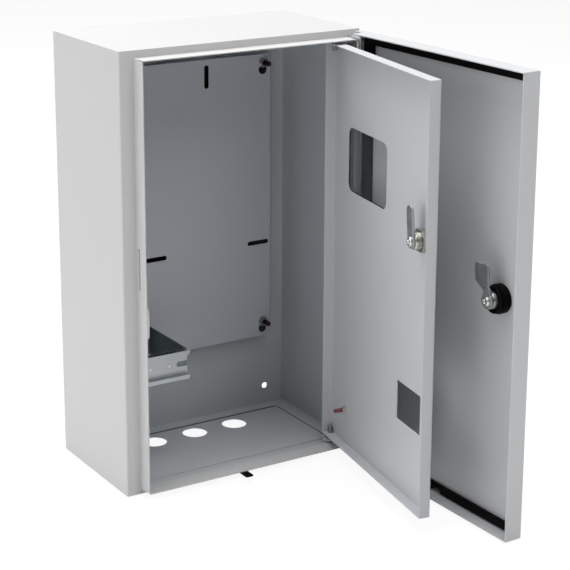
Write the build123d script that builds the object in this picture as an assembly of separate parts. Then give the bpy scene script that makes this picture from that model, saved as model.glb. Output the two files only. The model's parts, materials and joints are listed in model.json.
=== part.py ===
from build123d import *
import math
import os

os.makedirs("parts", exist_ok=True)

# Sizes are in millimetres. The pieces are drawn with x across the box, y running from
# the front flange back to the wall and z up from the underside. export() then moves
# them to the frame of the part, whose origin is the centre of the wall holes.

# Box body
bodyWidth = 310.0
bodyHeight = 510.0
bodyDepth = 166.0
sheet = 1.2
foldRadius = 2.0
sideFlange = 17.2
lowFlange = 6.1
topFlange = 8.5
lipReach = 20.5
cornerSlit = 1.6
wallHoleRadius = 4.0
wallHoleFromSide = 27.0
wallHoleFromEnd = 25.0
cutOver = 1.0
lipHalfWidth = bodyWidth / 2 - sideFlange
lipBottom = lowFlange
lipTop = bodyHeight - topFlange
wallHoleX = bodyWidth / 2 - wallHoleFromSide

# Running and resting fits
runClearance = 0.05
restClearance = 0.03
throughClearance = 0.25

# Screw heads
headBevelShare = 0.4
recessShare = 0.5
recessWidth = 0.9

# Gland plate, with the floor opening under it
glandFromSide = 21.2
glandFront = 24.0
glandFromWall = 20.3
glandThick = 1.5
glandCorner = 4.0
glandHoleRadius = 15.4
glandHolePitch = 56.4
glandHoleFromBack = 24.7
glandLapSide = 9.8
glandLapFront = 9.0
glandLapBack = 7.1
glandScrewFromSide = 4.8
glandScrewFromFront = 5.0
glandScrewRadius = 2.0
glandScrewHead = 3.8
glandScrewThick = 1.8
glandHalfWidth = bodyWidth / 2 - glandFromSide
glandBack = bodyDepth - glandFromWall
glandHoleY = glandBack - glandHoleFromBack
glandScrewX = glandHalfWidth - glandScrewFromSide
glandScrewY = glandFront + glandScrewFromFront

# Mounting plate, its studs and its nuts
plateFromSide = 28.0
plateBottom = 100.0
plateFromTop = 48.5
plateFromWall = 16.0
plateThick = 1.5
plateCorner = 3.0
studFromSide = 11.0
studFromBottom = 19.0
studFromTop = 10.2
studRadius = 3.0
studLength = 32.0
keyholeDrop = 9.0
keyholeRadius = 5.75
keySlotWidth = 6.6
washerRadius = 6.2
washerThick = 1.2
nutAcross = 10.0
nutThick = 5.0
spacerRadius = 6.0
meterX = 37.0
meterSlotWidth = 6.5
meterSlotLength = 28.7
meterSlotFromTop = 6.8
sideSlotDrop = 202.5
sideSlotHeight = 5.8
sideSlotNear = 57.1
sideSlotFar = 87.5
slotEndFlat = 0.05
plateHalfWidth = bodyWidth / 2 - plateFromSide
plateTop = bodyHeight - plateFromTop
plateFront = bodyDepth - plateFromWall
studTip = bodyDepth - studLength
studX = plateHalfWidth - studFromSide
studLow = plateBottom + studFromBottom
studHigh = plateTop - studFromTop
meterSlotHigh = plateTop - meterSlotFromTop
meterSlotLow = meterSlotHigh - meterSlotLength
sideSlotZ = meterSlotLow - sideSlotDrop

# Top hat rail and its bracket
railFromSide = 20.0
railLength = 62.0
railFromBottom = 23.0
railStand = 100.0
railHeight = 35.0
railWebHeight = 27.0
railDepth = 7.5
railThick = 1.0
railSlotHeight = 6.2
railSlotLength = 14.5
bracketThick = 1.5
bracketFoot = 18.0
railScrewFirst = 13.0
railScrewPitch = 25.0
railScrewRadius = 1.2
railScrewHead = 2.0
railScrewHeadThick = 0.5
railScrewTail = 0.5
footScrewInset = 11.25
footScrewRadius = 2.0
footScrewHead = 3.6
footScrewHeadThick = 1.8
footScrewTail = 3.0
railLeft = -plateHalfWidth + railFromSide
railRight = railLeft + railLength
railCentreZ = plateBottom + railFromBottom
railFront = plateFront - railStand

# Inner door, drawn closed
innerSideGap = 8.4
innerFreeGap = 3.8
innerLowGap = 10.1
innerTopGap = 3.5
innerFront = -2.5
innerFlange = 13.4
innerOpenAngle = 80.2
innerAxisFromSide = 6.2
innerAxisFromFront = 5.0
innerRight = lipHalfWidth - sheet - innerSideGap
innerLeft = -lipHalfWidth + sheet + innerFreeGap
innerBottom = lipBottom + sheet + innerLowGap
innerTop = lipTop - sheet - innerTopGap
innerAxisX = innerRight - innerAxisFromSide
innerAxisY = innerFront + innerAxisFromFront

# Window and its pane, which lies on the front of the inner door
windowFromAxis = 33.1
windowWidth = 101.0
windowFromTop = 92.2
windowHeight = 75.1
windowRadius = 10.0
paneMargin = 6.0
paneThick = 1.5
windowRight = innerAxisX - windowFromAxis
windowLeft = windowRight - windowWidth
windowHigh = innerTop - windowFromTop
windowLow = windowHigh - windowHeight

# Cut-out for the fronts of the rail devices
apertureRailLeft = 1.8
apertureRailRight = 3.3
apertureHeight = 45.5
apertureRise = 0.25
apertureRadius = 1.0
apertureLeft = railLeft + apertureRailLeft
apertureRight = railRight - apertureRailRight
apertureLow = railCentreZ + apertureRise - apertureHeight / 2
apertureHigh = apertureLow + apertureHeight

# Earth stud on the inner door
earthFromSide = 42.0
earthFromBottom = 43.1
earthRadius = 2.5
earthLength = 15.0
earthWasherRadius = 5.0
earthWasherThick = 1.0
earthNutAcross = 8.0
earthNutThick = 4.0
earthX = innerRight - earthFromSide
earthZ = innerBottom + earthFromBottom

# Inner door pivots
pivotRadius = 2.5
pivotNutAcross = 6.4
pivotNutThick = 4.0
pivotNutGap = 0.4
pivotEndChamfer = 1.2
pivotHeadRadius = 4.5
lowHeadThick = 1.8
highHeadThick = 0.9
tabThick = 2.0
tabRadius = 8.5
tabLipFront = -16.0
tabLipBack = 0.0
lowTabGap = 5.4
highTabGap = 0.4
pivotReach = 10.8
lowTabBottom = innerBottom - lowTabGap - tabThick
highTabBottom = innerTop + highTabGap
lowPivotTop = innerBottom + pivotReach
highPivotBottom = innerTop - pivotReach

# Lock parts that both doors share
lockBarrelRadius = 9.5
lockPlugRadius = 6.0
camSquare = 7.0
plugFrontGap = 0.3
lockFlangeRadius = 12.0
lockFlangeBevel = 0.6
keyRecessRadius = 4.6
keyRecessDepth = 6.0
keyPinRadius = 1.3
keyBitWidth = 2.0
keyBitReach = 0.9
camThick = 2.5
camScrewShank = 1.9
camScrewDepth = 5.5
camSocketDepth = 1.4

# Inner door lock
innerLockFromEdge = 29.3
innerLockDrop = 8.5
innerBarrelLength = 14.4
innerFlangeThick = 1.5
innerNutAcross = 24.0
innerNutThick = 5.8
innerCamWidth = 13.7
innerCamLength = 38.6
innerCamTilt = 7.0
innerCamHub = 7.8
innerCamScrewHead = 5.4
innerCamScrewThick = 2.5
keeperHalf = 23.0
keeperGap = 0.1
keeperLap = 0.4
keeperThick = 1.2
keeperLeg = 18.0
innerLockX = innerLeft + innerLockFromEdge
innerLockZ = windowLow - innerLockDrop
keeperFace = innerFront + innerBarrelLength - keeperGap

# Door gasket
gasketLap = 1.2
gasketLapLow = 3.2
gasketLapHigh = 3.4
gasketBand = 8.5
gasketHingeBand = 15.0
gasketThick = 7.0
gasketGap = 0.3
gasketHalfWidth = lipHalfWidth + gasketLap
gasketLow = lipBottom - gasketLapLow
gasketHigh = lipTop + gasketLapHigh

# Outer door, drawn closed
outerSideGap = 2.5
outerBottom = 0.7
outerTopGap = 0.9
outerFlange = 22.6
outerHingeFlange = 10.0
outerHingeCut = 14.0
outerOpenAngle = 91.0
outerAxisFromLip = 4.7
outerAxisFromFront = 10.5
outerHalfWidth = bodyWidth / 2 - outerSideGap
outerTop = bodyHeight - outerTopGap
outerFront = -lipReach - gasketGap - gasketThick - sheet
outerAxisX = lipHalfWidth + outerAxisFromLip
outerAxisY = outerFront + outerAxisFromFront

# Outer door hinges
hingeFromEnd = 7.0
hingeLength = 36.0
hingePlateThick = 1.5
hingePlateGap = 0.7
hingeEarThick = 2.0
hingeEarRadius = 3.8
hingePinRadius = 2.0
hingePinTail = 3.0
hingePinHead = 3.0
hingePinHeadThick = 1.5
hingeGap = 0.2
leafThick = 1.5
leafGap = 0.5
leafFlangeGap = 0.9
leafCorner = 4.0
leafKnuckleRadius = 3.4
leafSlotWidth = 4.2
leafSlotLength = 9.0
hingeNotchMargin = 1.5
hingeNotchDepth = 3.0
hingeLows = (hingeFromEnd, bodyHeight - hingeFromEnd - hingeLength)
hingePlateLeft = lipHalfWidth + hingePlateGap
hingePlateRight = bodyWidth / 2 - foldRadius
leafLeft = gasketHalfWidth + leafGap
leafRight = outerHalfWidth - sheet - leafFlangeGap

# Outer door lock, whose cranked cam has a head wider on the hinge side
outerLockFromEdge = 45.0
outerLockRise = 3.8
outerBarrelLength = 19.5
outerSealRadius = 16.2
outerSealThick = 8.8
outerSealChamfer = 1.0
outerFlangeThick = 2.0
outerCamTilt = 3.0
outerCamHub = 9.0
outerCamReach = 40.5
outerCamFreeSide = 5.5
outerCamHingeSide = 16.5
outerCamHeadLength = 20.0
outerCamNeckRise = 8.5
outerCamCurve = 1.5
outerCamCorner = 4.0
outerCamBend = 12.0
outerCamBendLength = 4.0
outerCamScrewHead = 5.5
outerCamScrewThick = 2.8
outerLockX = -outerHalfWidth + outerLockFromEdge
outerLockZ = bodyHeight / 2 + outerLockRise
outerCamFront = outerFront + outerBarrelLength + runClearance

# Slot and strike tab in the lip, placed from the path of the outer cam
camSlotSpare = 9.8
camSlotGap = 0.6
strikeDrop = 30.8
strikeLength = 38.0
strikeReach = 3.6
strikeChamfer = 3.2
camSweep = math.hypot(outerCamReach, outerCamHingeSide)
lipFromLock = lipHalfWidth - sheet + outerLockX
camSlotLow = outerLockZ - outerCamFreeSide - camSlotSpare
camSlotHigh = outerLockZ + math.sqrt(camSweep ** 2 - lipFromLock ** 2)
camSlotFront = outerCamFront + camThick - camSlotGap
camSlotBack = outerCamFront + 2 * camThick + camSlotGap
strikeHigh = outerLockZ - strikeDrop
strikeLow = strikeHigh - strikeLength

# Seal lug under the front lip, which stands through the outer door
lugLeft = -18.3
lugWidth = 9.8
lugProud = 5.5
lugRoot = -10.0
lugThick = 1.2
lugCorner = 2.0
lugHoleRadius = 1.1
lugHoleFromTip = 3.2
lugSlotMargin = 1.6
lugSlotRise = 1.0
lugGasketRise = 1.8
lugRight = lugLeft + lugWidth
lugTip = outerFront - lugProud


def block(x0, x1, y0, y1, z0, z1):
    size = Box(x1 - x0, y1 - y0, z1 - z0)
    return Pos((x0 + x1) / 2, (y0 + y1) / 2, (z0 + z1) / 2) * size


def rodY(x, z, radius, y0, y1):
    return Pos(x, (y0 + y1) / 2, z) * Rot(90, 0, 0) * Cylinder(radius, y1 - y0)


def rodZ(x, y, radius, z0, z1):
    return Pos(x, y, (z0 + z1) / 2) * Cylinder(radius, z1 - z0)


def hexY(x, z, across, y0, y1):
    face = RegularPolygon(across / 2, 6, major_radius=False)
    return Pos(x, y1, z) * Rot(90, 0, 0) * extrude(face, y1 - y0)


def hexZ(x, y, across, z0, z1):
    face = RegularPolygon(across / 2, 6, major_radius=False)
    return Pos(x, y, z0) * extrude(face, z1 - z0)


def slotY(x0, x1, z0, z1, radius, y0, y1):
    face = RectangleRounded(x1 - x0, z1 - z0, radius)
    return Pos((x0 + x1) / 2, y1, (z0 + z1) / 2) * Rot(90, 0, 0) * extrude(face, y1 - y0)


def vertical(solid):
    return solid.edges().filter_by(Axis.Z)


def swing(piece, axisX, axisY, angle):
    return Pos(axisX, axisY, 0) * Rot(0, 0, angle) * Pos(-axisX, -axisY, 0) * piece


def swingOuter(piece):
    return swing(piece, outerAxisX, outerAxisY, outerOpenAngle)


def swingInner(piece):
    return swing(piece, innerAxisX, innerAxisY, innerOpenAngle)


def tiltCam(piece, x, z, tilt):
    return Pos(x, 0, z) * Rot(0, tilt, 0) * Pos(-x, 0, -z) * piece


def export(node, pieces):
    frame = Location((0, -bodyDepth, -bodyHeight / 2))
    solids = []
    for piece in pieces:
        for solid in piece.solids():
            solids.append(solid.moved(frame))
    shape = solids[0] if len(solids) == 1 else Compound(children=solids)
    export_step(shape, "parts/" + node + ".step")


# A screw with a cross recess, drawn with its seat at z = 0 and its head upwards
def crossScrew(headRadius, headThick, shankRadius, shankLength):
    head = rodZ(0, 0, headRadius, 0, headThick)
    head = chamfer(head.edges().group_by(Axis.Z)[-1], headThick * headBevelShare)
    reach = headRadius * recessShare
    recess = Box(2 * reach, recessWidth, headThick) + Box(recessWidth, 2 * reach, headThick)
    return head + rodZ(0, 0, shankRadius, -shankLength, 0) - Pos(0, 0, headThick) * recess


# Body
def bodyShell():
    half = bodyWidth / 2
    outside = fillet(vertical(block(-half, half, 0, bodyDepth, 0, bodyHeight)), foldRadius)
    inside = block(-half + sheet, half - sheet, sheet, bodyDepth - sheet, sheet, bodyHeight - sheet)
    inside = fillet(vertical(inside), foldRadius - sheet)
    lip = block(-lipHalfWidth, lipHalfWidth, -lipReach, sheet, lipBottom, lipTop)
    mouth = block(-lipHalfWidth + sheet, lipHalfWidth - sheet, -lipReach - cutOver, sheet + cutOver,
                  lipBottom + sheet, lipTop - sheet)
    shell = outside - inside + lip - mouth
    shell += strikeTab()
    for side in (-1, 1):
        for z in (lipBottom, lipTop):
            shell -= Pos(side * lipHalfWidth, -lipReach, z) * Box(2 * cornerSlit, lipReach, 2 * cornerSlit)
        for z in (wallHoleFromEnd, bodyHeight - wallHoleFromEnd):
            shell -= rodY(side * wallHoleX, z, wallHoleRadius, bodyDepth - sheet - cutOver, bodyDepth + cutOver)
        shell -= rodZ(side * glandScrewX, glandScrewY, glandScrewRadius + restClearance, -cutOver, sheet + cutOver)
    shell -= block(-lipHalfWidth - cutOver, -lipHalfWidth + sheet + cutOver, camSlotFront, camSlotBack,
                   camSlotLow, camSlotHigh)
    opening = glandHalfWidth - glandLapSide
    shell -= block(-opening, opening, glandFront + glandLapFront, glandBack - glandLapBack,
                   -cutOver, sheet + cutOver)
    return shell


def strikeTab():
    root = -lipHalfWidth
    tip = root + strikeReach
    outline = Polyline((root, strikeLow), (root, strikeHigh), (tip, strikeHigh - strikeChamfer),
                       (tip, strikeLow + strikeChamfer), close=True)
    return Pos(0, -lipReach + sheet, 0) * Rot(90, 0, 0) * extrude(make_face(outline), sheet)


def sealLug():
    lug = block(lugLeft, lugRight, lugTip, lugRoot, lipBottom - lugThick, lipBottom)
    lug = fillet(vertical(lug).group_by(Axis.Y)[0], lugCorner)
    return lug - rodZ((lugLeft + lugRight) / 2, lugTip + lugHoleFromTip, lugHoleRadius, 0, lipBottom + cutOver)


def glandPlate():
    top = sheet + glandThick
    plate = block(-glandHalfWidth, glandHalfWidth, glandFront, glandBack, sheet, top)
    plate = fillet(vertical(plate), glandCorner)
    for step in (-1, 0, 1):
        plate -= rodZ(step * glandHolePitch, glandHoleY, glandHoleRadius, 0, top + cutOver)
    for side in (-1, 1):
        plate -= rodZ(side * glandScrewX, glandScrewY, glandScrewRadius + restClearance, 0, top + cutOver)
    return plate


def glandScrews():
    seat = sheet + glandThick
    screw = crossScrew(glandScrewHead, glandScrewThick, glandScrewRadius, seat)
    return [Pos(side * glandScrewX, glandScrewY, seat) * screw for side in (-1, 1)]


# Mounting plate
def studPlaces():
    return [(side * studX, z) for side in (-1, 1) for z in (studLow, studHigh)]


def footPlaces():
    return (railLeft + footScrewInset, railRight - footScrewInset)


def mountingPlate():
    back = plateFront + plateThick
    through = (plateFront - cutOver, back + cutOver)
    plate = block(-plateHalfWidth, plateHalfWidth, plateFront, back, plateBottom, plateTop)
    plate = fillet(plate.edges().filter_by(Axis.Y), plateCorner)
    for x, z in studPlaces():
        plate -= rodY(x, z - keyholeDrop, keyholeRadius, *through)
        plate -= block(x - keySlotWidth / 2, x + keySlotWidth / 2, *through, z - keyholeDrop, z)
        plate -= rodY(x, z, keySlotWidth / 2, *through)
    half = meterSlotWidth / 2
    plate -= slotY(meterX - half, meterX + half, meterSlotLow, meterSlotHigh, half - slotEndFlat, *through)
    half = sideSlotHeight / 2
    for side in (-1, 1):
        near = meterX + side * sideSlotNear
        far = meterX + side * sideSlotFar
        plate -= slotY(min(near, far), max(near, far), sideSlotZ - half, sideSlotZ + half,
                       half - slotEndFlat, *through)
    for x in footPlaces():
        plate -= rodY(x, railCentreZ, footScrewRadius + restClearance, *through)
    return plate


def plateStuds():
    return [rodY(x, z, studRadius, studTip, bodyDepth - sheet) for x, z in studPlaces()]


def ringsOnStuds(radius, bore, y0, y1):
    pieces = []
    for x, z in studPlaces():
        pieces.append(rodY(x, z, radius, y0, y1) - rodY(x, z, bore, y0 - cutOver, y1 + cutOver))
    return pieces


def plateSpacers():
    return ringsOnStuds(spacerRadius, studRadius + throughClearance, plateFront + plateThick, bodyDepth - sheet)


def plateWashers():
    return ringsOnStuds(washerRadius, studRadius + throughClearance, plateFront - washerThick, plateFront)


def plateNuts():
    seat = plateFront - washerThick
    pieces = []
    for x, z in studPlaces():
        nut = hexY(x, z, nutAcross, seat - nutThick, seat)
        pieces.append(nut - rodY(x, z, studRadius + restClearance, studTip, plateFront))
    return pieces


# Rail
def railScrewPlaces():
    return (railLeft + railScrewFirst, railLeft + railScrewFirst + railScrewPitch)


def dinRail():
    half = railHeight / 2
    web = railWebHeight / 2
    back = railFront + railDepth
    section = Polyline((railFront, half), (railFront, web - railThick), (back - railThick, web - railThick),
                       (back - railThick, 0), (back, 0), (back, web), (railFront + railThick, web),
                       (railFront + railThick, half), close=True)
    upper = extrude(Plane.YZ * make_face(section), railLength)
    rail = Pos(railLeft, 0, railCentreZ) * (upper + mirror(upper, Plane.XY))
    for x in railScrewPlaces():
        rail -= rodY(x, railCentreZ, railScrewRadius + restClearance, back - railThick - cutOver, back + cutOver)
    end = railSlotHeight / 2
    rail -= slotY(railRight - railSlotLength, railRight + railSlotHeight, railCentreZ - end, railCentreZ + end,
                  end - slotEndFlat, back - railThick - cutOver, back + cutOver)
    return rail


def dinBracket():
    front = railFront + railDepth
    foot = plateFront - bracketThick
    low = railCentreZ - railHeight / 2
    half = railLength / 2
    leg = half - bracketThick
    toe = half - bracketFoot
    outline = Polyline((-half, front), (half, front), (half, plateFront), (toe, plateFront), (toe, foot),
                       (leg, foot), (leg, front + bracketThick), (-leg, front + bracketThick), (-leg, foot),
                       (-toe, foot), (-toe, plateFront), (-half, plateFront), close=True)
    bracket = Pos(railLeft + half, 0, low) * extrude(make_face(outline), railHeight)
    for x in railScrewPlaces():
        bracket -= rodY(x, railCentreZ, railScrewRadius + restClearance, front - cutOver, foot - cutOver)
    for x in footPlaces():
        bracket -= rodY(x, railCentreZ, footScrewRadius + restClearance, foot - cutOver, plateFront + cutOver)
    return bracket


def railScrews():
    seat = railFront + railDepth - railThick
    length = railThick + bracketThick + railScrewTail
    screw = Rot(90, 0, 0) * crossScrew(railScrewHead, railScrewHeadThick, railScrewRadius, length)
    return [Pos(x, seat, railCentreZ) * screw for x in railScrewPlaces()]


def footScrews():
    seat = plateFront - bracketThick
    length = bracketThick + plateThick + footScrewTail
    screw = Rot(90, 0, 0) * crossScrew(footScrewHead, footScrewHeadThick, footScrewRadius, length)
    return [Pos(x, seat, railCentreZ) * screw for x in footPlaces()]


# Inner door
def foldedPan(left, right, front, back, low, high):
    pan = block(left, right, front, back, low, high)
    pan = fillet(vertical(pan).group_by(Axis.Y)[0], foldRadius)
    hollow = block(left + sheet, right - sheet, front + sheet, back + cutOver, low + sheet, high - sheet)
    hollow = fillet(vertical(hollow).group_by(Axis.Y)[0], foldRadius - sheet)
    return pan - hollow


def innerDoor():
    door = foldedPan(innerLeft, innerRight, innerFront, innerFront + innerFlange, innerBottom, innerTop)
    through = (innerFront - cutOver, innerFront + sheet + cutOver)
    door -= slotY(windowLeft, windowRight, windowLow, windowHigh, windowRadius, *through)
    door -= slotY(apertureLeft, apertureRight, apertureLow, apertureHigh, apertureRadius, *through)
    door -= rodY(innerLockX, innerLockZ, lockBarrelRadius + restClearance, *through)
    for z in (innerBottom, innerTop):
        door -= rodZ(innerAxisX, innerAxisY, pivotRadius + runClearance, z - 2 * sheet, z + 2 * sheet)
    return door


def windowPane():
    return slotY(windowLeft - paneMargin, windowRight + paneMargin, windowLow - paneMargin,
                 windowHigh + paneMargin, windowRadius, innerFront - paneThick, innerFront)


def earthStud():
    seat = innerFront + sheet
    return rodY(earthX, earthZ, earthRadius, seat, seat + earthLength)


def earthWasher():
    seat = innerFront + sheet
    disc = rodY(earthX, earthZ, earthWasherRadius, seat, seat + earthWasherThick)
    return disc - rodY(earthX, earthZ, earthRadius + throughClearance, innerFront, seat + earthLength)


def earthNut():
    seat = innerFront + sheet + earthWasherThick
    nut = hexY(earthX, earthZ, earthNutAcross, seat, seat + earthNutThick)
    return nut - rodY(earthX, earthZ, earthRadius + restClearance, innerFront, seat + earthLength)


# Inner door pivots
def tangentPoint(x, y, side):
    dx = x - innerAxisX
    dy = y - innerAxisY
    turn = math.atan2(dy, dx) + side * math.acos(tabRadius / math.hypot(dx, dy))
    return (innerAxisX + tabRadius * math.cos(turn), innerAxisY + tabRadius * math.sin(turn))


def pivotTab(bottom):
    lip = lipHalfWidth - sheet
    outline = Polyline((lip, tabLipFront), (lip, tabLipBack), tangentPoint(lip, tabLipBack, 1),
                       tangentPoint(lip, tabLipFront, -1), close=True)
    tab = Pos(0, 0, bottom) * extrude(make_face(outline), tabThick)
    tab += rodZ(innerAxisX, innerAxisY, tabRadius, bottom, bottom + tabThick)
    return tab - rodZ(innerAxisX, innerAxisY, pivotRadius + restClearance, bottom - cutOver,
                      bottom + tabThick + cutOver)


def pivotTabs():
    return [pivotTab(lowTabBottom), pivotTab(highTabBottom)]


def pivotPins():
    low = rodZ(innerAxisX, innerAxisY, pivotRadius, lowTabBottom, lowPivotTop)
    low = chamfer(low.edges().group_by(Axis.Z)[-1], pivotEndChamfer)
    low += rodZ(innerAxisX, innerAxisY, pivotHeadRadius, lowTabBottom - lowHeadThick, lowTabBottom)
    top = highTabBottom + tabThick
    high = rodZ(innerAxisX, innerAxisY, pivotRadius, highPivotBottom, top)
    high = chamfer(high.edges().group_by(Axis.Z)[0], pivotEndChamfer)
    high += rodZ(innerAxisX, innerAxisY, pivotHeadRadius, top, top + highHeadThick)
    return [low, high]


def pivotNuts():
    lowSeat = innerBottom + sheet + pivotNutGap
    highSeat = innerTop - sheet - pivotNutGap
    spans = [
        (lowTabBottom + tabThick, innerBottom - pivotNutGap),
        (lowSeat, lowSeat + pivotNutThick),
        (highSeat - pivotNutThick, highSeat),
    ]
    pieces = []
    for z0, z1 in spans:
        nut = hexZ(innerAxisX, innerAxisY, pivotNutAcross, z0, z1)
        pieces.append(nut - rodZ(innerAxisX, innerAxisY, pivotRadius + restClearance, z0 - cutOver, z1 + cutOver))
    return pieces


# Locks. The face is the front of the door skin that the lock sits in.
def lockBody(x, z, face, barrelLength, flangeThick):
    front = face - flangeThick
    end = face + barrelLength
    flange = rodY(x, z, lockFlangeRadius, front, face)
    flange = chamfer(flange.edges().group_by(Axis.Y)[0], lockFlangeBevel)
    bore = rodY(x, z, lockPlugRadius + runClearance, front - cutOver, end + cutOver)
    return flange + rodY(x, z, lockBarrelRadius, face, end) - bore


def lockPlug(x, z, face, barrelLength, flangeThick):
    front = face - flangeThick + plugFrontGap
    end = face + barrelLength + runClearance
    plug = rodY(x, z, lockPlugRadius, front, end)
    plug += block(x - camSquare / 2, x + camSquare / 2, end, end + camThick, z - camSquare / 2, z + camSquare / 2)
    plug -= rodY(x, z, keyRecessRadius, front - cutOver, front + keyRecessDepth)
    bits = keyRecessRadius + keyBitReach
    plug -= block(x - bits, x + bits, front - cutOver, front + keyRecessDepth,
                  z - keyBitWidth / 2, z + keyBitWidth / 2)
    plug += rodY(x, z, keyPinRadius, front, front + keyRecessDepth)
    tip = end + camThick - camScrewDepth
    return plug - rodY(x, z, camScrewShank + restClearance, tip - cutOver, end + camThick + cutOver)


def camScrew(x, z, face, barrelLength, headRadius, headThick):
    seat = face + barrelLength + runClearance + camThick
    top = seat + headThick
    head = rodY(x, z, headRadius, seat, top)
    head = chamfer(head.edges().group_by(Axis.Y)[-1], headThick * headBevelShare)
    socket = rodY(x, z, headRadius * recessShare, top - camSocketDepth, top + cutOver)
    return head - socket + rodY(x, z, camScrewShank, seat - camScrewDepth, seat)


def camHole(x, z, y0, y1):
    half = camSquare / 2 + restClearance
    return block(x - half, x + half, y0 - cutOver, y1 + cutOver, z - half, z + half)


def innerCam():
    y0 = innerFront + innerBarrelLength + runClearance
    y1 = y0 + camThick
    half = innerCamWidth / 2
    cam = slotY(innerLockX - half, innerLockX + half, innerLockZ - half, innerLockZ + innerCamLength,
                half - slotEndFlat, y0, y1)
    cam += rodY(innerLockX, innerLockZ, innerCamHub, y0, y1)
    return cam - camHole(innerLockX, innerLockZ, y0, y1)


def innerNut():
    seat = innerFront + sheet
    nut = hexY(innerLockX, innerLockZ, innerNutAcross, seat, seat + innerNutThick)
    return nut - rodY(innerLockX, innerLockZ, lockBarrelRadius + restClearance, innerFront,
                      seat + innerBarrelLength)


def innerKeeper():
    wall = -bodyWidth / 2 + sheet
    front = keeperFace - keeperThick
    low = innerLockZ - keeperHalf
    high = innerLockZ + keeperHalf
    leg = block(wall, wall + keeperThick, front, keeperFace + keeperLeg, low, high)
    return leg + block(wall, -lipHalfWidth - keeperLap, front, keeperFace, low, high)


# Outline of the outer cam from the front, with its head wider on the hinge side
def outerCamOutline(y0, y1):
    free = outerLockX - outerCamFreeSide
    neck = outerLockX + outerCamFreeSide
    hinge = outerLockX + outerCamHingeSide
    top = outerLockZ + outerCamReach
    low = top - outerCamHeadLength
    neckZ = outerLockZ + outerCamNeckRise
    middle = ((hinge + neck) / 2 - outerCamCurve, (low + neckZ) / 2 + outerCamCurve)
    outline = Polyline((neck, neckZ), (neck, outerLockZ), (free, outerLockZ), (free, top), (hinge, top),
                       (hinge, low))
    outline += ThreePointArc((hinge, low), middle, (neck, neckZ))
    arm = Pos(0, y1, 0) * Rot(90, 0, 0) * extrude(make_face(outline), y1 - y0)
    return fillet(arm.edges().filter_by(Axis.Y).group_by(Axis.Z)[-1], outerCamCorner)


# The same cam from the side, a strip that steps inwards by its own thickness
def outerCamStrip(y0, y1, y2):
    bottom = outerLockZ - outerCamHub - cutOver
    bendLow = outerLockZ + outerCamBend
    bendHigh = bendLow + outerCamBendLength
    top = outerLockZ + outerCamReach + cutOver
    side = Polyline((y0, bottom), (y0, bendLow), (y1, bendHigh), (y1, top), (y2, top), (y2, bendHigh),
                    (y1, bendLow), (y1, bottom), close=True)
    width = 2 * (outerCamHingeSide + cutOver)
    return Pos(outerLockX - width / 2, 0, 0) * extrude(Plane.YZ * make_face(side), width)


def outerCam():
    y0 = outerCamFront
    y1 = y0 + camThick
    y2 = y1 + camThick
    cam = outerCamOutline(y0, y2) & outerCamStrip(y0, y1, y2)
    cam += rodY(outerLockX, outerLockZ, outerCamHub, y0, y1)
    return cam - camHole(outerLockX, outerLockZ, y0, y1)


def outerSeal():
    seat = outerFront + sheet
    ring = rodY(outerLockX, outerLockZ, outerSealRadius, seat, seat + outerSealThick)
    ring = chamfer(ring.edges().group_by(Axis.Y)[-1], outerSealChamfer)
    return ring - rodY(outerLockX, outerLockZ, lockBarrelRadius + restClearance, outerFront,
                       seat + outerBarrelLength)


# Outer door
def outerDoor():
    half = outerHalfWidth
    back = outerFront + outerFlange
    door = foldedPan(-half, half, outerFront, back, outerBottom, outerTop)
    door -= block(half - outerHingeCut, half + cutOver, outerFront + outerHingeFlange, back + cutOver,
                  outerBottom - cutOver, outerTop + cutOver)
    for low in hingeLows:
        door -= block(half - hingeNotchDepth, half + cutOver, outerFront + foldRadius, back + cutOver,
                      low - hingeNotchMargin, low + hingeLength + hingeNotchMargin)
    through = (outerFront - cutOver, outerFront + sheet + cutOver)
    door -= rodY(outerLockX, outerLockZ, lockBarrelRadius + restClearance, *through)
    door -= block(lugLeft - lugSlotMargin, lugRight + lugSlotMargin, *through,
                  lipBottom - lugThick - lugSlotRise, lipBottom + lugSlotRise)
    return door


def doorGasket():
    y0 = outerFront + sheet
    y1 = y0 + gasketThick
    through = (y0 - cutOver, y1 + cutOver)
    ring = block(-gasketHalfWidth, gasketHalfWidth, y0, y1, gasketLow, gasketHigh)
    ring -= block(-gasketHalfWidth + gasketBand, gasketHalfWidth - gasketHingeBand, *through,
                  gasketLow + gasketBand, gasketHigh - gasketBand)
    ring -= block(lugLeft - 2 * lugSlotMargin, lugRight + 2 * lugSlotMargin, *through,
                  gasketLow - cutOver, lipBottom + lugGasketRise)
    return ring


def hingeEar(bottom):
    ear = rodZ(outerAxisX, outerAxisY, hingeEarRadius, bottom, bottom + hingeEarThick)
    root = -hingePlateThick / 2
    right = outerAxisX + hingeEarRadius
    outline = Polyline((outerAxisX - hingeEarRadius, outerAxisY), (right, outerAxisY), (right, root),
                       (hingePlateLeft, root), close=True)
    ear += Pos(0, 0, bottom) * extrude(make_face(outline), hingeEarThick)
    return ear - rodZ(outerAxisX, outerAxisY, hingePinRadius + restClearance, bottom - cutOver,
                      bottom + hingeEarThick + cutOver)


def hingeFrames():
    pieces = []
    for low in hingeLows:
        frame = block(hingePlateLeft, hingePlateRight, -hingePlateThick, 0, low, low + hingeLength)
        frame += hingeEar(low)
        frame += hingeEar(low + hingeLength - hingeEarThick)
        pieces.append(frame)
    return pieces


def hingePins():
    pieces = []
    for low in hingeLows:
        top = low + hingeLength
        pin = rodZ(outerAxisX, outerAxisY, hingePinRadius, low - hingePinTail, top)
        pieces.append(pin + rodZ(outerAxisX, outerAxisY, hingePinHead, top, top + hingePinHeadThick))
    return pieces


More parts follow.
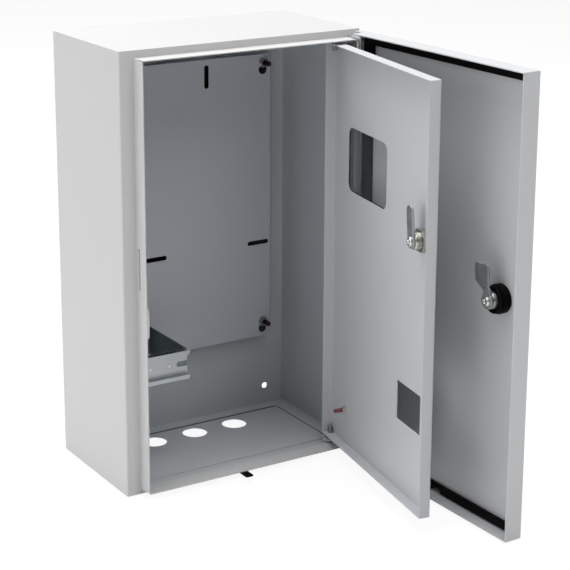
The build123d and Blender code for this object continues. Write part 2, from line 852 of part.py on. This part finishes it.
def leafEar(bottom, seat):
    top = bottom + hingeEarThick
    ear = rodZ(outerAxisX, outerAxisY, leafKnuckleRadius, bottom, top)
    ear += block(leafLeft, outerAxisX + leafKnuckleRadius, seat, outerAxisY, bottom, top)
    return ear - rodZ(outerAxisX, outerAxisY, hingePinRadius + runClearance, bottom - cutOver, top + cutOver)


def hingeLeaves():
    pieces = []
    seat = outerFront + sheet
    for low in hingeLows:
        z0 = low + hingeEarThick + hingeGap
        z1 = low + hingeLength - hingeEarThick - hingeGap
        leaf = block(leafLeft, leafRight, seat, seat + leafThick, z0, z1)
        corners = leaf.edges().filter_by(Axis.Y).group_by(Axis.X)[-1]
        leaf = fillet(corners, leafCorner)
        leaf += leafEar(z0, seat)
        leaf += leafEar(z1 - hingeEarThick, seat)
        middle = (z0 + z1) / 2
        slotX = (leafLeft + leafRight) / 2
        half = leafSlotWidth / 2
        leaf -= slotY(slotX - half, slotX + half, middle - leafSlotLength / 2, middle + leafSlotLength / 2,
                      half - slotEndFlat, seat - cutOver, seat + leafThick + cutOver)
        pieces.append(leaf)
    return pieces


# Fixed pieces
export("body_shell", [bodyShell()])
export("seal_lug", [sealLug()])
export("gland_plate", [glandPlate()])
export("gland_plate_screws", glandScrews())
export("mounting_plate", [mountingPlate()])
export("plate_studs", plateStuds())
export("plate_spacers", plateSpacers())
export("plate_washers", plateWashers())
export("plate_nuts", plateNuts())
export("din_rail", [dinRail()])
export("din_bracket", [dinBracket()])
export("din_rail_screws", railScrews())
export("din_bracket_screws", footScrews())
export("inner_pivot_tabs", pivotTabs())
export("inner_pivot_pins", pivotPins())
export("inner_pivot_nuts", pivotNuts())
export("inner_lock_keeper", [innerKeeper()])
export("outer_hinge_frames", hingeFrames())
export("outer_hinge_pins", hingePins())

# Inner door pieces, swung open
innerSeat = (innerLockX, innerLockZ, innerFront, innerBarrelLength)
export("inner_door", [swingInner(innerDoor())])
export("window_pane", [swingInner(windowPane())])
export("earth_stud", [swingInner(earthStud())])
export("earth_washer", [swingInner(earthWasher())])
export("earth_nut", [swingInner(earthNut())])
export("inner_lock_body", [swingInner(lockBody(*innerSeat, innerFlangeThick))])
export("inner_lock_nut", [swingInner(innerNut())])

# Inner lock cam and the plug that turns it
innerTurning = {
    "inner_cam": innerCam(),
    "inner_cam_plug": lockPlug(*innerSeat, innerFlangeThick),
    "inner_cam_screw": camScrew(*innerSeat, innerCamScrewHead, innerCamScrewThick),
}
for node, piece in innerTurning.items():
    export(node, [swingInner(tiltCam(piece, innerLockX, innerLockZ, innerCamTilt))])

# Outer door pieces, swung open
outerSeat = (outerLockX, outerLockZ, outerFront, outerBarrelLength)
export("outer_door", [swingOuter(outerDoor())])
export("door_gasket", [swingOuter(doorGasket())])
export("outer_hinge_leaves", [swingOuter(leaf) for leaf in hingeLeaves()])
export("outer_lock_body", [swingOuter(lockBody(*outerSeat, outerFlangeThick))])
export("outer_lock_seal", [swingOuter(outerSeal())])

# Outer lock cam and the plug that turns it
outerTurning = {
    "outer_cam": outerCam(),
    "outer_cam_plug": lockPlug(*outerSeat, outerFlangeThick),
    "outer_cam_screw": camScrew(*outerSeat, outerCamScrewHead, outerCamScrewThick),
}
for node, piece in outerTurning.items():
    export(node, [swingOuter(tiltCam(piece, outerLockX, outerLockZ, outerCamTilt))])
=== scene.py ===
import bmesh
import bpy
import json
import math
from mathutils import Matrix, Vector

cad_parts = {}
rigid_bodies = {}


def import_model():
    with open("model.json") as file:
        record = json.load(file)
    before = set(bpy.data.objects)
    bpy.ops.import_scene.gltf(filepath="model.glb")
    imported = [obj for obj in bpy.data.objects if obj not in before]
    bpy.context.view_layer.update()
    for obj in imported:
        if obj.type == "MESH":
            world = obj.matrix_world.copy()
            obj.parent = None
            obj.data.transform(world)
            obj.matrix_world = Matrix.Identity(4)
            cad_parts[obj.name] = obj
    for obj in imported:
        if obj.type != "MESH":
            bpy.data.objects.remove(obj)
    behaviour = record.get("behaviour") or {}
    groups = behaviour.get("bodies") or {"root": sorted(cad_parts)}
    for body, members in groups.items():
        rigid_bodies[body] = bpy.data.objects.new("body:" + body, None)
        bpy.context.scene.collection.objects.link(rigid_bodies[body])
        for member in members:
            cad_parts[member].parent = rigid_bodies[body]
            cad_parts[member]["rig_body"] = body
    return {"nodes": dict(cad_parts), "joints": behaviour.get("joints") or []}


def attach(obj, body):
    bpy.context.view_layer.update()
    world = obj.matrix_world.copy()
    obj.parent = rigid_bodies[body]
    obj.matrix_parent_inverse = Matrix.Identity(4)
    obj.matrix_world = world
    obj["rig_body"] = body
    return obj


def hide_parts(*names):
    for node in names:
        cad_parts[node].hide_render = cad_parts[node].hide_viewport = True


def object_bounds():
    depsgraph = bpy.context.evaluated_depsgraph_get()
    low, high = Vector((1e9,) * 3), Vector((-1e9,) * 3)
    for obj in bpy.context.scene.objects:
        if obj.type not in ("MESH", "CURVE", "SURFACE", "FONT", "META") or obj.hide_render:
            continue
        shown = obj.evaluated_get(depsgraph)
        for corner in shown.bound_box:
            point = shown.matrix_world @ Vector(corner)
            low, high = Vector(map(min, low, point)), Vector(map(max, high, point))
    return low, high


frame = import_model()
cadBox = [list(corner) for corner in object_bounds()]
nodes = frame["nodes"]
joints = {joint["name"]: joint for joint in frame["joints"]}
scene = bpy.context.scene
scene.view_settings.view_transform = "Standard"
print("stage: frame loaded")


# shader maths: a socket that adds its own nodes

class Wire:
    def __init__(self, graph, socket):
        self.graph = graph
        self.socket = socket

    def __add__(self, other):
        return self.graph.maths("ADD", self, other)

    def __radd__(self, other):
        return self.graph.maths("ADD", other, self)

    def __rsub__(self, other):
        return self.graph.maths("SUBTRACT", other, self)

    def __mul__(self, other):
        return self.graph.maths("MULTIPLY", self, other)

    def __rmul__(self, other):
        return self.graph.maths("MULTIPLY", other, self)

    def highest(self, other):
        return self.graph.maths("MAXIMUM", self, other)


class Graph:
    def __init__(self, tree):
        self.tree = tree

    def node(self, kind, settings=None, values=None, out=0):
        made = self.tree.nodes.new(kind)
        for key, value in (settings or {}).items():
            setattr(made, key, value)
        for key, value in (values or {}).items():
            if isinstance(value, Wire):
                self.tree.links.new(value.socket, made.inputs[key])
            else:
                made.inputs[key].default_value = value
        return Wire(self, made.outputs[out])

    def maths(self, operation, first, second, third=0.0):
        return self.node("ShaderNodeMath", {"operation": operation}, {0: first, 1: second, 2: third})

    def rays(self, kind):
        return self.node("ShaderNodeLightPath", out=kind)


class Finish(Graph):
    def __init__(self, name, **fixed):
        self.material = bpy.data.materials.new(name)
        self.material.use_nodes = True
        super().__init__(self.material.node_tree)
        self.surface = self.tree.nodes["Principled BSDF"]
        for socketName, value in fixed.items():
            self.surface.inputs[socketName.replace("_", " ")].default_value = value

    def place(self, stretch=(1, 1, 1)):
        coords = self.node("ShaderNodeTexCoord", out="Object")
        return self.node("ShaderNodeMapping", {}, {"Vector": coords, "Scale": stretch})

    def noise(self, scale, detail=2.0, stretch=(1, 1, 1)):
        return self.node("ShaderNodeTexNoise", {}, {
            "Vector": self.place(stretch), "Scale": scale, "Detail": detail})

    def cells(self, scale, out):
        return self.node("ShaderNodeTexVoronoi", {}, {"Vector": self.place(), "Scale": scale}, out=out)

    def mixed(self, amount, first, second):
        sides = [side if isinstance(side, Wire) else (*side, 1) for side in (first, second)]
        return self.node("ShaderNodeMix", {"data_type": "RGBA"}, {0: amount, 6: sides[0], 7: sides[1]}, out=2)

    def within(self, low, high):
        spot = self.node("ShaderNodeTexCoord", out="Object")
        inSpace = 1.0
        for axis, least, most in zip("XYZ", low, high):
            along = self.node("ShaderNodeSeparateXYZ", {}, {0: spot}, out=axis)
            inSpace = inSpace * self.maths("COMPARE", along, (least + most) / 2, (most - least) / 2)
        return inSpace

    def bump(self, height, distance, strength):
        self.feed("Normal", self.node("ShaderNodeBump", {}, {
            "Height": height, "Distance": distance, "Strength": strength}))

    def feed(self, socketName, wire):
        self.tree.links.new(wire.socket, self.surface.inputs[socketName])


# finishes, each a colour that drifts a little, a roughness that varies and a fine relief

def powder(name, colour):
    coat = Finish(name, Specular_IOR_Level=0.4)
    cloud = coat.noise(scale=6.0, detail=3.0)
    peel = coat.noise(scale=620.0, detail=2.0)
    coat.feed("Roughness", 0.38 + 0.08 * peel + 0.05 * cloud)
    coat.bump(peel, distance=0.00006, strength=0.5)
    return coat, coat.mixed(cloud, tuple(part * 0.965 for part in colour), colour)


def powderCoat(name, colour):
    coat, paint = powder(name, colour)
    coat.feed("Base Color", paint)
    return coat.material


# a space to paint differently: a CAD piece's box, each side moved outward by so much

def spaceOf(nodeName, grown):
    corners = [Vector(corner) for corner in nodes[nodeName].bound_box]
    low = [min(corner[axis] for corner in corners) - grown[axis][0] for axis in range(3)]
    high = [max(corner[axis] for corner in corners) + grown[axis][1] for axis in range(3)]
    return low, high


# the shell's paint carries painted shade: a little darker and cooler inside than outside, and next to black
# in the narrow gap behind the mounting plate

shell = {"skin": 0.0006, "lip": 0.0211, "paintedShadeInside": (0.565, 0.595, 0.615)}
gap = {"inset": 0.004, "pastSide": 0.0094, "behind": 0.0142, "below": 0.0046}
inSkin = (-shell["skin"], -shell["skin"])
inside = spaceOf("body_shell", [inSkin, (-shell["lip"], -shell["skin"]), inSkin])
# painted shade: the space behind the mounting plate where the shell turns next to black
plateGapShade = spaceOf("mounting_plate", [
    (-gap["inset"], gap["pastSide"]), (0, gap["behind"]), (gap["below"], -gap["inset"])])
deepShade = (0.012, 0.012, 0.013)
farPast = (0.01, 0.01)


def shellCoat(name, colour):
    coat, paint = powder(name, colour)
    # painted shade: the shell's inside faces a little darker and cooler than its outside
    cool = coat.mixed(coat.within(*inside), paint, shell["paintedShadeInside"])
    # painted shade: next to black on the shell in the narrow gap behind the mounting plate
    coat.feed("Base Color", coat.mixed(coat.within(*plateGapShade), cool, deepShade))
    return coat.material


# the gland plate has painted shade, a dark rim along its back and its hinge side where the gap at its edge
# lies in shade

# widths of the painted shade rim on the hinge side and at the back
joint = {"side": 0.0018, "back": 0.0034}
glandClearOfShade = spaceOf("gland_plate", [(farPast[0], -joint["side"]), (farPast[0], -joint["back"]), farPast])


def glandCoat(name, colour):
    coat, paint = powder(name, colour)
    # painted shade: dark outside this field, along the back and the hinge side
    coat.feed("Base Color", coat.mixed(1.0 - coat.within(*glandClearOfShade), paint, deepShade))
    return coat.material


def galvanised(name, colour):
    skin = Finish(name, Metallic=1.0)
    spangle = skin.node("ShaderNodeSeparateColor", {}, {"Color": skin.cells(170.0, "Color")})
    haze = skin.noise(scale=60.0, detail=4.0)
    grain = spangle * 0.6 + haze * 0.4
    skin.feed("Base Color", skin.mixed(grain, tuple(part * 0.75 for part in colour), colour))
    skin.feed("Roughness", 0.34 + 0.2 * grain)
    skin.bump(haze, distance=0.00005, strength=0.4)
    return skin.material


def platedSteel(name, colour, rough):
    skin = Finish(name, Metallic=1.0)
    turning = skin.noise(scale=900.0, detail=3.0, stretch=(1, 1, 8))
    film = skin.noise(scale=110.0, detail=4.0)
    skin.feed("Base Color", skin.mixed(film, tuple(part * 0.8 for part in colour), colour))
    skin.feed("Roughness", rough + 0.12 * film + 0.06 * turning)
    skin.bump(turning, distance=0.00002, strength=0.5)
    return skin.material


def copperPlate(name, dark, bright):
    skin = Finish(name, Metallic=1.0)
    tarnish = skin.noise(scale=240.0, detail=5.0)
    skin.feed("Base Color", skin.mixed(tarnish, dark, bright))
    skin.feed("Roughness", 0.26 + 0.2 * tarnish)
    skin.bump(tarnish, distance=0.00002, strength=0.4)
    return skin.material


def foamRubber(name):
    skin = Finish(name, Specular_IOR_Level=0.06)
    bloom = skin.noise(scale=45.0, detail=4.0)
    skin.feed("Base Color", skin.mixed(bloom, (0.0015, 0.0015, 0.0015), (0.004, 0.004, 0.004)))
    skin.feed("Roughness", 0.55 + 0.25 * bloom)
    skin.bump(skin.cells(1400.0, "Distance"), distance=0.0001, strength=0.6)
    return skin.material


def blackPlastic(name):
    skin = Finish(name, Specular_IOR_Level=0.06)
    spark = skin.noise(scale=1500.0, detail=2.0)
    wear = skin.noise(scale=30.0, detail=3.0)
    skin.feed("Base Color", skin.mixed(wear, (0.0015, 0.0015, 0.0015), (0.004, 0.004, 0.004)))
    skin.feed("Roughness", 0.38 + 0.14 * spark)
    skin.bump(spark, distance=0.00004, strength=0.5)
    return skin.material


# the pane is darker in a band along the hinge side and the lower side of the window

paneDarkBand = {"hingeSide": 0.0092, "lowSide": 0.0072, "colour": (0.16, 0.165, 0.17)}
paneField = spaceOf("window_pane", [
    farPast, (farPast[0], -paneDarkBand["hingeSide"]), (-paneDarkBand["lowSide"], farPast[1])])


def clearSheet(name):
    skin = Finish(name, Transmission_Weight=1.0, IOR=1.25, Specular_IOR_Level=0.2)
    haze = skin.noise(scale=25.0, detail=4.0)
    sheet = skin.mixed(haze, (0.84, 0.88, 0.88), (0.91, 0.93, 0.93))
    # darker band along the hinge side and the lower side
    skin.feed("Base Color", skin.mixed(1.0 - skin.within(*paneField), sheet, paneDarkBand["colour"]))
    skin.feed("Roughness", 0.01 + 0.02 * haze)
    return skin.material


finishes = {
    "bodyPaint": shellCoat("bodyPaint", (0.62, 0.62, 0.62)),
    "outerPaint": powderCoat("outerPaint", (0.61, 0.62, 0.635)),
    "glandPaint": glandCoat("glandPaint", (0.60, 0.61, 0.63)),
    "innerPaint": powderCoat("innerPaint", (0.585, 0.595, 0.62)),
    "platePaint": powderCoat("platePaint", (0.555, 0.56, 0.60)),
    "galvanised": galvanised("galvanisedSheet", (0.72, 0.74, 0.75)),
    "railZinc": platedSteel("railZinc", (0.52, 0.545, 0.56), 0.34),
    # painted shade: a darker copy of the galvanised finish, for the DIN bracket whose faces lie in shade
    "shadedBracketZinc": galvanised("shadedBracketZinc", (0.22, 0.26, 0.26)),
    "camZinc": galvanised("camZinc", (0.54, 0.57, 0.56)),
    # a darker zinc; on the plate spacers, seen through the keyholes, it is painted shade of the gap behind
    # the mounting plate
    "darkZinc": platedSteel("darkZinc", (0.36, 0.37, 0.36), 0.22),
    "lockZinc": platedSteel("lockZinc", (0.52, 0.53, 0.47), 0.18),
    "zinc": platedSteel("zincPlate", (0.74, 0.74, 0.72), 0.24),
    "chrome": platedSteel("dieCastChrome", (0.82, 0.82, 0.80), 0.12),
    "copper": copperPlate("copperPlate", (0.05, 0.012, 0.02), (0.42, 0.14, 0.18)),
    # painted shade: a darker copy of the copper plate, for the mounting plate's studs inside the box
    "darkCopper": copperPlate("darkCopper", (0.010, 0.004, 0.006), (0.10, 0.032, 0.042)),
    "rubber": foamRubber("foamRubber"),
    "plastic": blackPlastic("blackPlastic"),
    "clear": clearSheet("clearPane"),
}

nodeFinish = {
    "body_shell": "bodyPaint", "seal_lug": "plastic", "gland_plate": "glandPaint",
    "gland_plate_screws": "zinc",
    # painted shade: the plate studs take the darker copper, the plate spacers the darker zinc
    "mounting_plate": "platePaint", "plate_studs": "darkCopper", "plate_spacers": "darkZinc",
    # the DIN bracket takes the darker galvanised copy: painted shade
    "plate_washers": "zinc", "plate_nuts": "darkZinc", "din_rail": "railZinc", "din_bracket": "shadedBracketZinc",
    "din_rail_screws": "zinc",
    "din_bracket_screws": "zinc", "inner_pivot_tabs": "outerPaint", "inner_pivot_pins": "darkZinc",
    "inner_pivot_nuts": "darkZinc", "inner_lock_keeper": "outerPaint", "outer_hinge_frames": "galvanised",
    "outer_hinge_pins": "zinc", "inner_door": "innerPaint", "window_pane": "clear", "earth_stud": "copper",
    "earth_washer": "zinc", "earth_nut": "zinc", "inner_lock_body": "lockZinc", "inner_lock_nut": "lockZinc",
    "inner_cam": "camZinc", "inner_cam_plug": "chrome", "inner_cam_screw": "chrome",
    "outer_door": "outerPaint", "door_gasket": "rubber", "outer_hinge_leaves": "galvanised",
    "outer_lock_body": "darkZinc", "outer_lock_seal": "plastic", "outer_cam": "camZinc",
    "outer_cam_plug": "chrome", "outer_cam_screw": "chrome",
}


def dress(piece, material):
    piece.data.materials.clear()
    piece.data.materials.append(material)


for nodeName, finishName in nodeFinish.items():
    for slot in nodes[nodeName].material_slots:
        slot.material = finishes[finishName]
print("stage: finishes")


def inPlaceOf(nodeName, piece):
    dress(piece, finishes[nodeFinish[nodeName]])
    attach(piece, nodes[nodeName]["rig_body"])
    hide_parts(nodeName)


def pieceFrom(name, work):
    mesh = bpy.data.meshes.new(name)
    work.to_mesh(mesh)
    work.free()
    piece = bpy.data.objects.new(name, mesh)
    scene.collection.objects.link(piece)
    for face in mesh.polygons:
        face.use_smooth = True
    return piece


edge = {"corner": 35.0, "weight": 100, "segments": 2}


def roundEdges(piece, radius, segments):
    bevel = piece.modifiers.new("edgeRadius", "BEVEL")
    bevel.width = radius
    bevel.segments = segments
    bevel.limit_method = "ANGLE"
    bevel.angle_limit = math.radians(edge["corner"])
    bevel.use_clamp_overlap = True
    smoothing = piece.modifiers.new("flatFaces", "WEIGHTED_NORMAL")
    smoothing.mode = "FACE_AREA"
    smoothing.weight = edge["weight"]


# softened copies: CAD pieces with the small radius that a folded, cut or moulded edge has

edgeRadii = {
    "body_shell": 0.00045, "inner_door": 0.0004, "outer_door": 0.00045, "mounting_plate": 0.0003,
    "gland_plate": 0.0003, "din_rail": 0.0002, "din_bracket": 0.0003, "inner_pivot_tabs": 0.0003,
    "inner_lock_keeper": 0.0003, "outer_hinge_frames": 0.0003, "outer_hinge_leaves": 0.0003,
    "outer_cam": 0.0004, "inner_cam": 0.0005, "plate_nuts": 0.0003, "earth_nut": 0.0003,
    "inner_lock_nut": 0.0004, "inner_pivot_nuts": 0.0003, "seal_lug": 0.0002, "outer_lock_seal": 0.0008,
    "outer_cam_screw": 0.0003, "inner_cam_screw": 0.0003, "door_gasket": 0.0026,
}
edgeSegments = {"door_gasket": 5, "outer_lock_seal": 3}
mergeDistance = 0.000002
flatAngle = 0.035


# the gasket is narrower at the free edge of the door, where the photo shows none of it

gasketTrim = {"inner": 0.0085, "play": 0.002, "less": 0.0038}


def trimGasket(work):
    free = min(vert.co.y for vert in work.verts) + gasketTrim["inner"]
    near = [vert for vert in work.verts if abs(vert.co.y - free) < gasketTrim["play"]]
    bmesh.ops.translate(work, verts=near, vec=(0, -gasketTrim["less"], 0))


def softened(nodeName, radius, segments):
    work = bmesh.new()
    work.from_mesh(nodes[nodeName].data)
    bmesh.ops.remove_doubles(work, verts=work.verts, dist=mergeDistance)
    bmesh.ops.dissolve_limit(work, angle_limit=flatAngle, verts=work.verts, edges=work.edges)
    if nodeName == "door_gasket":
        trimGasket(work)
    piece = pieceFrom(nodeName + "_soft", work)
    roundEdges(piece, radius, segments)
    inPlaceOf(nodeName, piece)


for nodeName, radius in edgeRadii.items():
    softened(nodeName, radius, edgeSegments.get(nodeName, edge["segments"]))
print("stage: softened pieces")


# turned pieces: a half profile of (radius, height) points spun about an axis

lathe = {"steps": 36, "fineSteps": 48}


def turned(profile, start, direction, steps=lathe["steps"]):
    work = bmesh.new()
    points = [work.verts.new((radius, 0, height)) for radius, height in profile]
    edges = [work.edges.new(pair) for pair in zip(points, points[1:])]
    bmesh.ops.spin(work, geom=points + edges, cent=(0, 0, 0), axis=(0, 0, 1), angle=2 * math.pi,
                   steps=steps, use_merge=True, use_duplicate=False)
    bmesh.ops.remove_doubles(work, verts=work.verts, dist=mergeDistance)
    bmesh.ops.recalc_face_normals(work, faces=work.faces)
    turn = Vector((0, 0, 1)).rotation_difference(direction).to_matrix().to_4x4()
    bmesh.ops.transform(work, matrix=Matrix.Translation(start) @ turn, verts=work.verts)
    return work


def joined(parts):
    whole = bmesh.new()
    for part in parts:
        mesh = bpy.data.meshes.new("part")
        part.to_mesh(mesh)
        part.free()
        whole.from_mesh(mesh)
        bpy.data.meshes.remove(mesh)
    return whole


# a thread as rings of ridges, in shares of its pitch

thread = {"depth": 0.55, "flank": 0.4, "crestEnd": 0.6}


def threadProfile(radius, low, high, pitch):
    root = radius - thread["depth"] * pitch
    profile = []
    for index in range(int((high - low) / pitch)):
        foot = low + index * pitch
        profile.append((root, foot))
        profile.append((radius, foot + thread["flank"] * pitch))
        profile.append((radius, foot + thread["crestEnd"] * pitch))
    return profile + [(root, profile[-1][1] + thread["flank"] * pitch)]


# the separate solids of a CAD node, each as a list of its points

def solidsOf(nodeName):
    work = bmesh.new()
    work.from_mesh(nodes[nodeName].data)
    bmesh.ops.remove_doubles(work, verts=work.verts, dist=mergeDistance)
    waiting = set(work.verts)
    solids = []
    while waiting:
        front = [waiting.pop()]
        points = []
        while front:
            vert = front.pop()
            points.append(vert.co.copy())
            near = {edge.other_vert(vert) for edge in vert.link_edges} & waiting
            waiting -= near
            front += near
        solids.append(points)
    work.free()
    return solids


# where a turned solid starts along a direction, how long it is and its largest radius

def turnedSpan(points, direction):
    across = direction.orthogonal().normalized()
    along = direction.cross(across)
    spans = []
    for axis in (direction, across, along):
        places = [point.dot(axis) for point in points]
        spans.append((min(places), max(places)))
    (low, high), (left, right), (down, up) = spans
    start = direction * low + across * (left + right) / 2 + along * (down + up) / 2
    return start, high - low, (right - left) / 2


backward = Vector((0, 1, 0))
outOfInner = Vector(joints["inner_lock_turn"]["axis"])
outOfOuter = Vector(joints["outer_lock_turn"]["axis"])


# threaded studs

stud = {"pitch": 0.001, "earthShare": 0.8, "lead": 0.0007}


def threadedStud(points, direction, pitch):
    start, length, radius = turnedSpan(points, direction)
    tip = radius - thread["depth"] * pitch
    profile = [(0, 0), (tip - stud["lead"] / 2, 0)]
    profile += threadProfile(radius, stud["lead"], length - stud["lead"], pitch)
    profile += [(tip, length), (0, length)]
    return turned(profile, start, direction)


plateStuds = [threadedStud(points, backward, stud["pitch"]) for points in solidsOf("plate_studs")]
inPlaceOf("plate_studs", pieceFrom("plate_studs_threaded", joined(plateStuds)))
earthStud = threadedStud(solidsOf("earth_stud")[0], outOfInner, stud["earthShare"] * stud["pitch"])
inPlaceOf("earth_stud", pieceFrom("earth_stud_threaded", earthStud))


# pivot pins of the inner door, each with its head outside and a domed end inside

pivot = {"radius": 0.0025, "pitch": 0.0008, "bevel": 0.0004, "dome": 0.0016, "domeSteps": 5,
         "lowHead": 0.0018, "highHead": 0.0009}


def pivotPin(points, direction, head):
    start, length, headRadius = turnedSpan(points, direction)
    profile = [(0, 0), (headRadius - pivot["bevel"], 0), (headRadius, pivot["bevel"]), (headRadius, head),
               (pivot["radius"], head)]
    profile += threadProfile(pivot["radius"], head, length - pivot["dome"], pivot["pitch"])
    for step in range(pivot["domeSteps"] + 1):
        turn = math.pi / 2 * step / pivot["domeSteps"]
        profile.append((pivot["radius"] * math.cos(turn), length - pivot["dome"] * (1 - math.sin(turn))))
    return turned(profile, start, direction)


upward = Vector((0, 0, 1))
lowPin, highPin = sorted(solidsOf("inner_pivot_pins"), key=lambda points: points[0].z)
pins = [pivotPin(lowPin, upward, pivot["lowHead"]), pivotPin(highPin, -upward, pivot["highHead"])]
inPlaceOf("inner_pivot_pins", pieceFrom("inner_pivot_pins_turned", joined(pins)))


# lock bodies: a rounded flange on the front and a threaded barrel behind

lock = {"barrel": 0.0095, "bore": 0.00605, "pitch": 0.00125, "bevel": 0.0006, "innerFlange": 0.0015,
        "outerFlange": 0.002}


def lockBody(nodeName, inward, face):
    start, length, flange = turnedSpan(solidsOf(nodeName)[0], inward)
    profile = [(lock["bore"], 0), (flange - lock["bevel"], 0), (flange, lock["bevel"]), (flange, face),
               (lock["barrel"], face)]
    profile += threadProfile(lock["barrel"], face + lock["bevel"], length - lock["bevel"], lock["pitch"])
    profile.append((lock["barrel"] - thread["depth"] * lock["pitch"], length))
    profile += [(lock["bore"], length), (lock["bore"], 0)]
    inPlaceOf(nodeName, pieceFrom(nodeName + "_turned", turned(profile, start, inward, lathe["fineSteps"])))


lockBody("inner_lock_body", -outOfInner, lock["innerFlange"])
lockBody("outer_lock_body", -outOfOuter, lock["outerFlange"])


# black collar between the outer lock's seal and its cam

collar = {"bore": 0.0097, "foot": 0.0150, "rim": 0.0142, "bevel": 0.0008, "high": 0.0045, "sink": 0.0002}


def lockCollar():
    start, length = turnedSpan(solidsOf("outer_lock_seal")[0], -outOfOuter)[:2]
    foot = length - collar["sink"]
    top = length + collar["high"]
    profile = [(collar["bore"], foot), (collar["foot"], foot), (collar["foot"], top - collar["bevel"]),
               (collar["rim"], top), (collar["bore"], top), (collar["bore"], foot)]
    piece = pieceFrom("outer_lock_collar", turned(profile, start, -outOfOuter, lathe["fineSteps"]))
    dress(piece, finishes["plastic"])
    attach(piece, nodes["outer_lock_seal"]["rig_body"])


lockCollar()
print("stage: turned pieces")


# stage, light and camera

studio = {"floorGap": 0.0015, "floorSize": 30.0, "floorGlow": 0.86, "glowLevel": 1.06, "sky": 0.02,
          "skyInMetal": 0.15}
aim = (0, -0.1, 0)
lamps = {
    "topLamp": {"place": (-0.2, 0.0, 3.0), "size": 2.5, "power": 82.0},
    "backLamp": {"place": (0.2, 1.6, 2.8), "size": 2.0, "power": 58.0},
    "frontLamp": {"place": (0.0, -2.2, 2.6), "size": 2.0, "power": 27.0},
    "highLeftLamp": {"place": (-2.4, -0.6, 2.2), "size": 2.0, "power": 16.0},
    "farLeftLamp": {"place": (-2.0, 1.2, 2.4), "size": 2.0, "power": 6.0},
    "sideLamp": {"place": (-3.0, 1.4, 0.6), "size": 2.0, "power": 20.0},
    "leftLamp": {"place": (-3.0, -0.4, 0.6), "size": 2.0, "power": 8.0},
    "rightLamp": {"place": (2.6, -2.0, 1.0), "size": 2.0, "power": 15.0},
}


def stageFloor():
    work = bmesh.new()
    bmesh.ops.create_grid(work, x_segments=1, y_segments=1, size=studio["floorSize"] / 2)
    bmesh.ops.translate(work, verts=work.verts, vec=(0, 0, cadBox[0][2] - studio["floorGap"]))
    floor = pieceFrom("floor", work)
    pale = Finish("paleFloor", Roughness=0.9)
    pale.feed("Base Color", pale.mixed(pale.noise(scale=3.0), (0.86, 0.86, 0.86), (0.88, 0.88, 0.88)))
    mirrored = pale.rays("Is Glossy Ray").highest(pale.rays("Is Transmission Ray"))
    seen = pale.rays("Is Camera Ray").highest(mirrored)
    glow = pale.node("ShaderNodeEmission", {}, {"Color": (1, 1, 1, 1), "Strength": studio["glowLevel"]})
    mix = pale.node("ShaderNodeMixShader", {}, {0: seen * studio["floorGlow"], 2: glow})
    pale.tree.links.new(pale.surface.outputs[0], mix.socket.node.inputs[1])
    pale.tree.links.new(mix.socket, pale.tree.nodes["Material Output"].inputs["Surface"])
    dress(floor, pale.material)


def studioSky():
    world = bpy.data.worlds.new("studioSky")
    scene.world = world
    world.use_nodes = True
    sky = Graph(world.node_tree)
    direct = sky.rays("Is Camera Ray").highest(sky.rays("Is Transmission Ray"))
    mirrored = sky.rays("Is Glossy Ray") * studio["skyInMetal"]
    background = sky.tree.nodes["Background"]
    background.inputs["Color"].default_value = (1, 1, 1, 1)
    sky.tree.links.new(direct.highest(mirrored).highest(studio["sky"]).socket, background.inputs["Strength"])


def softLamp(name, place, size, power):
    data = bpy.data.lights.new(name, "AREA")
    data.shape = "SQUARE"
    data.size = size
    data.energy = power
    lamp = bpy.data.objects.new(name, data)
    scene.collection.objects.link(lamp)
    lamp.location = place
    lamp.rotation_euler = (Vector(aim) - Vector(place)).to_track_quat("-Z", "Y").to_euler()


photoCamera = {
    "place": (-0.95165, -1.75761, 0.55836), "azimuth": 31.381, "elevation": -14.698, "roll": 0.031,
    "focal": 1695.54, "image": 570.0, "centre": (259.0, 200.0), "sensor": 36.0,
}


def photoView():
    azimuth = math.radians(photoCamera["azimuth"])
    elevation = math.radians(photoCamera["elevation"])
    roll = math.radians(photoCamera["roll"])
    ahead = Vector((math.sin(azimuth) * math.cos(elevation), math.cos(azimuth) * math.cos(elevation),
                    math.sin(elevation)))
    level = Vector((math.cos(azimuth), -math.sin(azimuth), 0))
    upward = level.cross(ahead)
    right = level * math.cos(roll) + upward * math.sin(roll)
    up = upward * math.cos(roll) - level * math.sin(roll)
    data = bpy.data.cameras.new("photoCamera")
    data.sensor_width = photoCamera["sensor"]
    data.lens = photoCamera["focal"] / photoCamera["image"] * photoCamera["sensor"]
    data.shift_x = (photoCamera["image"] / 2 - photoCamera["centre"][0]) / photoCamera["image"]
    data.shift_y = (photoCamera["centre"][1] - photoCamera["image"] / 2) / photoCamera["image"]
    camera = bpy.data.objects.new("photoCamera", data)
    scene.collection.objects.link(camera)
    turn = Matrix((right, up, -ahead)).transposed()
    camera.matrix_world = Matrix.Translation(photoCamera["place"]) @ turn.to_4x4()
    scene.camera = camera


stageFloor()
studioSky()
for name, lamp in lamps.items():
    softLamp(name, **lamp)
photoView()
print("stage: floor, light and camera")
